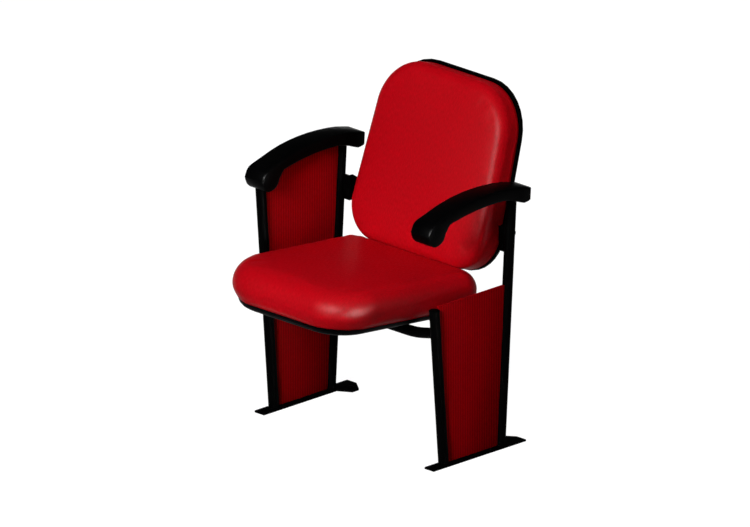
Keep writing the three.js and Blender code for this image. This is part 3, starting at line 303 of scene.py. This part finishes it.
# Armrests
# Each is a self skinning foam moulding over a steel bar: one curved black arm with a thick nose,
# softly rounded along both sides. Its skin has a fine leather grain.
arm_skin = coated(
    "black_arm_skin", dark=(0.0004, 0.0004, 0.0005), light=(0.0009, 0.0009, 0.001),
    dull=0.4, shiny=0.28, grain=640, patches=10, relief=0.0001, specular=0.008,
)
for side in ("left", "right"):
    finished(f"{side}_armrest", arm_skin, ease=0.002)

# Plated fasteners, pins and springs
# Screws, bolts, pivot pins and stops are bright zinc plated steel, and the return springs are
# oiled spring wire.
zinc = coated(
    "bright_zinc", dark=(0.42, 0.44, 0.46), light=(0.58, 0.6, 0.61),
    dull=0.55, shiny=0.42, grain=700, patches=60, relief=0.00003, metallic=1.0,
)
spring_wire = coated(
    "oiled_spring_wire", dark=(0.05, 0.053, 0.06), light=(0.12, 0.125, 0.135),
    dull=0.4, shiny=0.22, grain=900, patches=80, relief=0.00003, metallic=1.0,
)
for side in ("left", "right"):
    for end in ("front", "rear"):
        finished(f"{side}_{end}_panel_screw", zinc)
        finished(f"{side}_{end}_armrest_screw", zinc)
        finished(f"{side}_{end}_seat_screw", zinc)
    for end in ("inner", "outer"):
        finished(f"{side}_{end}_back_bolt", zinc)
    finished(f"{side}_pivot_pin", zinc)
    finished(f"{side}_tip_stop", zinc)
    finished(f"{side}_return_spring", spring_wire)

# Bushes and buffers
# The bushes are turned from natural nylon. The buffers are moulded rubber, bonded on under the
# pan, and land on the cross tube.
nylon = coated(
    "natural_nylon", dark=(0.66, 0.64, 0.58), light=(0.76, 0.745, 0.69),
    dull=0.55, shiny=0.4, grain=800, patches=30, relief=0.00004, specular=0.03,
)
rubber = coated(
    "buffer_rubber", dark=(0.006, 0.006, 0.006), light=(0.011, 0.011, 0.011),
    dull=0.85, shiny=0.7, grain=900, patches=30, relief=0.0001, specular=0.01,
)
for side in ("left", "right"):
    finished(f"{side}_pivot_bush", nylon)
    finished(f"{side}_seat_buffer", rubber)

# Boards
# The seat and back boards are birch plywood, stained black because an edge of each shows inside
# its shell's rim. The side panels' boards are bare brown hardboard, which the cloth hides.
plywood = coated(
    "black_stained_plywood", dark=(0.0012, 0.001, 0.0009), light=(0.004, 0.0032, 0.0028),
    dull=0.8, shiny=0.65, grain=260, patches=22, relief=0.0001, specular=0.01,
)
hardboard = coated(
    "bare_hardboard", dark=(0.09, 0.052, 0.03), light=(0.14, 0.085, 0.05),
    dull=0.9, shiny=0.75, grain=700, patches=40, relief=0.0001, specular=0.02,
)
for node in ("seat_board", "back_board"):
    finished(node, plywood)
for side in ("left", "right"):
    finished(f"{side}_panel_board", hardboard)

# Side panels
# Each stand is filled with a thin board in a sewn sleeve of dark red cloth, woven with a fine upright
# rib, with painted shade in its dips. The left one runs up to its armrest and the right one stops at
# seat height.
mottle_scale = 240
mottle_stretch = (1.6, 0.45, 1)

weave_tree, weave_in, weave_out = group_of(
    "woven_threads",
    [
        ("Vector", "NodeSocketVector", None),
        ("Across", "NodeSocketFloat", 400.0),
        ("Along", "NodeSocketFloat", 400.0),
    ],
    [("Height", "NodeSocketFloat"), ("Mottle", "NodeSocketFloat")],
)


def math_node(tree, operation, *values):
    """A Math node on numbers or other nodes' sockets, as its output socket."""
    node = tree.nodes.new("ShaderNodeMath")
    node.operation = operation
    for socket, value in zip(node.inputs, values):
        if isinstance(value, (int, float)):
            socket.default_value = value
        else:
            tree.links.new(value, socket)
    return node.outputs[0]


# Threads are waves both ways, and the warp is pressed flat where the weft dips
split = weave_tree.nodes.new("ShaderNodeSeparateXYZ")
weave_tree.links.new(weave_in.outputs["Vector"], split.inputs[0])
waves = []
for axis, count in ((0, "Across"), (1, "Along")):
    threads = math_node(weave_tree, "MULTIPLY", split.outputs[axis], weave_in.outputs[count])
    turns = math_node(weave_tree, "MULTIPLY", threads, math.tau)
    waves.append(math_node(weave_tree, "SINE", turns))
warp, weft = waves
over = math_node(weave_tree, "MULTIPLY_ADD", weft, 0.5, 0.5)
crossing = math_node(weave_tree, "MULTIPLY", warp, over)
lifted = math_node(weave_tree, "MULTIPLY_ADD", crossing, 0.5, 0.5)
mottle = weave_tree.nodes.new("ShaderNodeTexNoise")
mottle.inputs["Scale"].default_value = mottle_scale
mottle.inputs["Detail"].default_value = 5
drawn = weave_tree.nodes.new("ShaderNodeMapping")
drawn.inputs["Scale"].default_value = mottle_stretch
weave_tree.links.new(weave_in.outputs["Vector"], drawn.inputs["Vector"])
weave_tree.links.new(drawn.outputs[0], mottle.inputs["Vector"])
weave_tree.links.new(lifted, weave_out.inputs["Height"])
weave_tree.links.new(mottle.outputs[0], weave_out.inputs["Mottle"])

cloth_map = "cloth"
gloss_drift = 0.08
weave_strength = 0.7


def cloth(name, dark, light, across, along, relief, rough, specular, thread_shade=0.35):
    """Woven cloth with its threads across and along to a metre, which raise it by the relief. Its
    colour runs from dark to light: painted shade in the dips between the threads and painted light on
    their crowns, as much as the last argument says, and else with the dye."""
    material = bpy.data.materials.new(name)
    material.use_nodes = True
    tree = material.node_tree
    shader = tree.nodes["Principled BSDF"]
    shader.inputs["Specular IOR Level"].default_value = specular
    lay = tree.nodes.new("ShaderNodeUVMap")
    lay.uv_map = cloth_map
    threads = tree.nodes.new("ShaderNodeGroup")
    threads.node_tree = weave_tree
    threads.inputs["Across"].default_value = across
    threads.inputs["Along"].default_value = along
    tree.links.new(lay.outputs[0], threads.inputs["Vector"])
    # Painted shade and light: the colour darkens where the threads dip and lightens on their crowns,
    # mixed with the dye's random tone
    dye = math_node(tree, "MULTIPLY", threads.outputs["Mottle"], 1 - thread_shade)
    thread_shade_and_dye = math_node(tree, "MULTIPLY_ADD", threads.outputs["Height"], thread_shade, dye)
    tint = tree.nodes.new("ShaderNodeValToRGB")
    tint.color_ramp.elements[0].position = 0.25
    tint.color_ramp.elements[0].color = (*dark, 1)
    tint.color_ramp.elements[1].position = 0.75
    tint.color_ramp.elements[1].color = (*light, 1)
    gloss = tree.nodes.new("ShaderNodeMapRange")
    gloss.inputs["To Min"].default_value = rough + gloss_drift
    gloss.inputs["To Max"].default_value = rough - gloss_drift
    bump = tree.nodes.new("ShaderNodeBump")
    bump.inputs["Distance"].default_value = relief
    bump.inputs["Strength"].default_value = weave_strength
    tree.links.new(thread_shade_and_dye, tint.inputs[0])
    tree.links.new(threads.outputs["Mottle"], gloss.inputs["Value"])
    tree.links.new(threads.outputs["Height"], bump.inputs["Height"])
    tree.links.new(tint.outputs[0], shader.inputs["Base Color"])
    tree.links.new(gloss.outputs[0], shader.inputs["Roughness"])
    tree.links.new(bump.outputs[0], shader.inputs["Normal"])
    return material


def lay_cloth(mesh):
    """Lays the weave on from the side that each face looks to, in metres."""
    layer = mesh.uv_layers.new(name=cloth_map)
    for face in mesh.polygons:
        facing = max(range(3), key=lambda k: abs(face.normal[k]))
        across, along = [k for k in range(3) if k != facing]
        for corner in face.loop_indices:
            point = mesh.vertices[mesh.loops[corner].vertex_index].co
            layer.data[corner].uv = (point[across], point[along])


# Much of this cloth's colour is painted shade in the dips between its upright threads and painted light
# on their crowns
panel_cloth = cloth(
    "ribbed_panel_cloth", dark=(0.16, 0.0002, 0.0015), light=(0.5, 0.0005, 0.004),
    across=127, along=900, relief=0.0003, rough=0.8, specular=0.001, thread_shade=0.6,
)
for side in ("left", "right"):
    cover = finished(f"{side}_panel_cover", panel_cloth, ease=0.0004)
    lay_cloth(cover.data)

# Seat cushion
# Moulded foam on a plywood board, in one skin of bright red cloth drawn tight over it and tucked
# in at the pan's rim. The top is crowned, the sides are round and the front is one thick roll.
# A smaller share of this cloth's colour is painted shade between its threads and painted light on their
# crowns
cushion_cloth = cloth(
    "bright_red_cloth", dark=(0.3, 0.0006, 0.002), light=(0.57, 0.002, 0.009),
    across=420, along=420, relief=0.0003, rough=0.38, specular=0.012,
)
pad_cells = 72
roll_rings, tuck_rings = 12, 10
hem_insets = (0.001, 0.012, 0.03)

# How far the foam stands out before it is stretched, how far it then moves at most, and the
# height over which its lower edge is held
foam_start, foam_cap, foam_held = 0.0012, 0.0015, 0.012
stretch_frames, stretch_quality, stretch_pressure = 20, 5, 4


def rounded_outline(corners, radii):
    """A walk round a four sided outline with round corners, one step from mid corner to mid
    corner, which gives the point there and the way out of the outline."""
    bends = []
    for k, here in enumerate(corners):
        behind = (here - corners[k - 1]).normalized()
        ahead = (corners[(k + 1) % 4] - here).normalized()
        heading = math.atan2(-behind.x, behind.y)
        turn = (math.atan2(-ahead.x, ahead.y) - heading) % math.tau
        away = Vector((math.cos(heading), math.sin(heading)))
        middle = here - behind * radii[k] * math.tan(turn / 2) - away * radii[k]
        bends.append((middle, radii[k], heading, turn))

    def walk(step):
        middle, radius, heading, turn = bends[int(step) % 4]
        next_middle, next_radius, straight, next_turn = bends[(int(step) + 1) % 4]
        away = Vector((math.cos(straight), math.sin(straight)))
        leave, meet = middle + away * radius, next_middle + away * next_radius
        first, line, last = radius * turn / 2, (meet - leave).length, next_radius * next_turn / 2
        run = (step % 1) * (first + line + last)
        if first <= run <= first + line:
            return leave.lerp(meet, (run - first) / line), away
        if run < first:
            angle = heading + turn / 2 + run / radius
        else:
            middle, radius = next_middle, next_radius
            angle = straight + (run - first - line) / next_radius
        away = Vector((math.cos(angle), math.sin(angle)))
        return middle + away * radius, away

    return walk


def pad_form(name, walk, centre, base, top, tuck, swell, roll, crown, place):
    """A closed pad: a crowned top, a roll down to the widest line, and a tuck in to its base."""
    mesh = bpy.data.meshes.new(name)
    bm = bmesh.new()
    bmesh.ops.create_grid(bm, x_segments=pad_cells, y_segments=pad_cells, size=1)

    # Each square of the grid becomes a smaller copy of the outline, under the top's crown
    steps = {}
    for v in bm.verts:
        u, w = v.co.x, v.co.y
        share = max(abs(u), abs(w))
        if share < 1e-6:
            steps[v] = 0.0
        elif -w >= abs(u) - 1e-6:
            steps[v] = (u / share + 1) / 2
        elif u >= abs(w) - 1e-6:
            steps[v] = 1 + (w / share + 1) / 2
        elif w >= abs(u) - 1e-6:
            steps[v] = 2 + (1 - u / share) / 2
        else:
            steps[v] = 3 + (1 - w / share) / 2
        point, away = walk(steps[v])
        rim = point - away * roll(point, away)
        lean = math.atan2(2 * crown(rim, away), (rim - centre).length)
        rim = point - away * roll(point, away) * (1 - math.sin(lean))
        flat = centre.lerp(rim, share)
        fall = roll(point, away) * (1 - math.cos(lean))
        v.co = place(flat, top - fall + crown(flat, away) * (1 - share ** 2))

    def ring(shape):
        made = bmesh.ops.extrude_edge_only(bm, edges=[e for e in bm.edges if e.is_boundary])["geom"]
        fresh = {v for v in made if isinstance(v, bmesh.types.BMVert)}
        for v in fresh:
            source = next(e.other_vert(v) for e in v.link_edges if e.other_vert(v) not in fresh)
            steps[v] = steps[source]
            point, away = walk(steps[v])
            inset, height = shape(point, away)
            v.co = place(point - away * inset, height)

    def rolled(share):
        def shape(point, away):
            radius = roll(point, away)
            lean = math.atan2(2 * crown(point, away), (point - away * radius - centre).length)
            angle = (math.pi / 2 - lean) * (1 - share)
            return radius * (1 - math.cos(angle)), top - radius * (1 - math.sin(angle))
        return shape

    def tucked(share):
        def shape(point, away):
            height = swell(point, away)
            inset = tuck(point, away) * (1 - math.cos(share * math.pi / 2))
            return inset, base + height * (1 - share)
        return shape

    def under(inward):
        return lambda point, away: (tuck(point, away) + inward, base)

    for k in range(1, roll_rings + 1):
        ring(rolled(k / roll_rings))
    for k in range(1, tuck_rings + 1):
        ring(tucked(k / tuck_rings))
    for inward in hem_insets:
        ring(under(inward))
    bottom = bmesh.ops.holes_fill(bm, edges=[e for e in bm.edges if e.is_boundary], sides=0)["faces"]
    bmesh.ops.triangulate(bm, faces=bottom, ngon_method="BEAUTY")
    bmesh.ops.recalc_face_normals(bm, faces=bm.faces)
    bm.to_mesh(mesh)
    bm.free()
    return mesh


def upholstered(node, mesh, origin, upward):
    """Foam under stretched cloth: the pad's form swells a little, held fast where it meets its board."""
    piece = bpy.data.objects.new(mesh.name, mesh)
    bpy.context.scene.collection.objects.link(piece)
    free = [min(1, max(0, (v.co - origin).dot(upward) / foam_held)) for v in mesh.vertices]
    for v, normal, share in zip(mesh.vertices, [n.vector.copy() for n in mesh.vertex_normals], free):
        v.co += normal * foam_start * share
    start = [v.co.copy() for v in mesh.vertices]
    held = piece.vertex_groups.new(name="held")
    for v, share in zip(mesh.vertices, free):
        held.add([v.index], 1 - share, "REPLACE")
    sim = piece.modifiers.new("stretch", "CLOTH")
    sim.settings.quality = stretch_quality
    sim.settings.use_pressure = True
    sim.settings.uniform_pressure_force = stretch_pressure
    sim.settings.vertex_group_mass = "held"
    sim.settings.effector_weights.gravity = 0
    sim.point_cache.frame_start = 1
    sim.point_cache.frame_end = stretch_frames
    for step in range(1, stretch_frames + 1):
        bpy.context.scene.frame_set(step)
    depsgraph = bpy.context.evaluated_depsgraph_get()
    swollen = bpy.data.meshes.new_from_object(piece.evaluated_get(depsgraph), depsgraph=depsgraph)
    for v, before in zip(swollen.vertices, start):
        move = v.co - before
        if move.length > 1e-9:
            v.co = before + move.normalized() * foam_cap * math.tanh(move.length / foam_cap)
    piece.modifiers.clear()
    piece.data = mesh = swollen
    bpy.context.scene.frame_set(1)
    mesh.shade_smooth()
    lay_cloth(mesh)
    mesh.materials.append(cushion_cloth)
    fine = piece.modifiers.new("fine", "SUBSURF")
    fine.levels = fine.render_levels = 1
    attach(piece, frame["nodes"][node]["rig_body"])
    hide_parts(node)


# The seat is laid out from the pivots' line, with its rear edge lower
seat_tilt = math.radians(5.4)
seat_origin = Vector((0, foot_front + 0.118, 0.345))
seat_back = Vector((0, math.cos(seat_tilt), -math.sin(seat_tilt)))
seat_up = Vector((0, math.sin(seat_tilt), math.cos(seat_tilt)))
seat_half, seat_front, seat_rear = 0.214, -0.343, 0.134
seat_base, seat_top, seat_rise = -0.0094, 0.0785, 0.01
seat_corners = [
    Vector((-seat_half, seat_front)), Vector((seat_half, seat_front)),
    Vector((seat_half, seat_rear)), Vector((-seat_half, seat_rear)),
]
seat_radii = (0.112, 0.112, 0.052, 0.052)
side_roll, front_roll, rear_roll, roll_blend = 0.037, 0.056, 0.05, 0.7
end_tuck, side_tuck, tuck_blend = 0.014, 0.022, 1.5


def seat_roll(point, away):
    to_front = (front_roll - side_roll) * max(0, -away.y) ** roll_blend
    to_rear = (rear_roll - side_roll) * max(0, away.y) ** roll_blend
    return side_roll + to_front + to_rear


def seat_swell(point, away):
    return seat_top - seat_base - seat_roll(point, away)


def seat_tuck(point, away):
    return end_tuck + (side_tuck - end_tuck) * abs(away.x) ** tuck_blend


def seat_crown(point, away):
    return seat_rise * (seat_rear - point.y) / (seat_rear - seat_front)


def seat_place(flat, height):
    return seat_origin + Vector((flat.x, 0, 0)) + seat_back * flat.y + seat_up * height


seat_form = pad_form(
    "seat_cushion_cloth", rounded_outline(seat_corners, seat_radii),
    Vector((0, (seat_front + seat_rear) / 2)), seat_base, seat_top,
    seat_tuck, seat_swell, seat_roll, seat_crown, seat_place,
)
upholstered("seat_cushion", seat_form, seat_origin + seat_up * seat_base, seat_up)

# Back cushion
# The same foam and cloth as the seat's on a plywood board, thinner and with a tighter roll. It
# fills the shell's mouth, and its cloth is tucked in behind the shell's rim. It is laid out from
# the shell's lower rear edge.
back_recline = math.radians(17.57)
back_origin = Vector((0, foot_front + 0.277, 0.3905))
back_rise = Vector((0, math.sin(back_recline), math.cos(back_recline)))
back_out = Vector((0, -math.cos(back_recline), math.sin(back_recline)))
back_lower, back_upper, back_height = 0.232, 0.208, 0.45
back_base, back_held, back_top = 0.0143, 0.0146, 0.0725
back_tuck, back_swell, back_roll, back_crown = 0.001, 0.015, 0.026, 0.01
side_inset, lower_inset, upper_inset = 0.0035, 0.001, 0.008
back_corners = [
    Vector((-back_lower, 0)), Vector((back_lower, 0)),
    Vector((back_upper, back_height)), Vector((-back_upper, back_height)),
]
back_walk = rounded_outline(back_corners, (0.096, 0.096, 0.127, 0.127))


def back_outline(step):
    point, away = back_walk(step)
    to_lower = (lower_inset - side_inset) * max(0, -away.y)
    to_upper = (upper_inset - side_inset) * max(0, away.y)
    return point - away * (side_inset + to_lower + to_upper), away


def back_place(flat, height):
    return back_origin + Vector((flat.x, 0, 0)) + back_rise * flat.y + back_out * height


def even(amount):
    """The same amount all the way round."""
    return lambda point, away: amount


back_form = pad_form(
    "back_cushion_cloth", back_outline, Vector((0, back_height / 2)), back_base, back_top,
    even(back_tuck), even(back_swell), even(back_roll), even(back_crown), back_place,
)
upholstered("back_cushion", back_form, back_origin + back_out * back_held, back_out)
